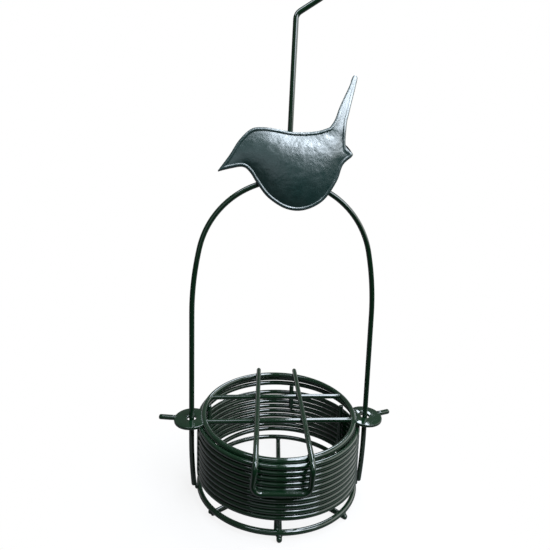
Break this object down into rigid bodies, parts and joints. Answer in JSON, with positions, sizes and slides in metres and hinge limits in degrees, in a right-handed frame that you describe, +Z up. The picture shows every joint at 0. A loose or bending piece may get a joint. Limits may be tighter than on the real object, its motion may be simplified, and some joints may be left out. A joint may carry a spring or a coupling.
{
  "type": "fat ball feeder",
  "caption": "Hanging wire feeder for fat balls: a close coiled basket on a barred base, an arched handle with a pressed bird and a hook, and a wire lid that slides up the legs.",
  "frame": {"origin": "on the coil's axis, on the surface that the floor bars stand on", "axes": "+Z up along the coil's axis, -Y to the front, where the hasp hangs; the bird looks towards -X"},
  "size_m": [0.2435, 0.1821, 0.5542],
  "materials": {
    "coated_wire": "glossy powder coat",
    "bird_sheet": "glossy powder coat"
  },
  "bodies": {
    "basket": {"base_ring": "coated_wire", "floor_bar": "coated_wire", "floor_spoke_front_right": "coated_wire", "floor_spoke_back_right": "coated_wire", "floor_spoke_back_left": "coated_wire", "floor_spoke_front_left": "coated_wire", "coil_wall": "coated_wire", "stay_rod_right": "coated_wire", "stay_rod_back": "coated_wire", "stay_rod_left": "coated_wire", "stay_rod_front": "coated_wire", "handle": "coated_wire", "bird": "bird_sheet", "hook": "coated_wire"},
    "lid": {"lid_ring": "coated_wire", "lid_cross_wire_front": "coated_wire", "lid_cross_wire_back": "coated_wire", "lid_hasp": "coated_wire", "lid_lug_left": "coated_wire", "lid_lug_right": "coated_wire", "lift_stub_left": "coated_wire", "lift_stub_right": "coated_wire"}
  },
  "joints": [
    {"name": "lid_slide", "type": "slide", "parent": "basket", "child": "lid", "axis": [0, 0, 1], "range_m": [0, 0.1]}
  ]
}
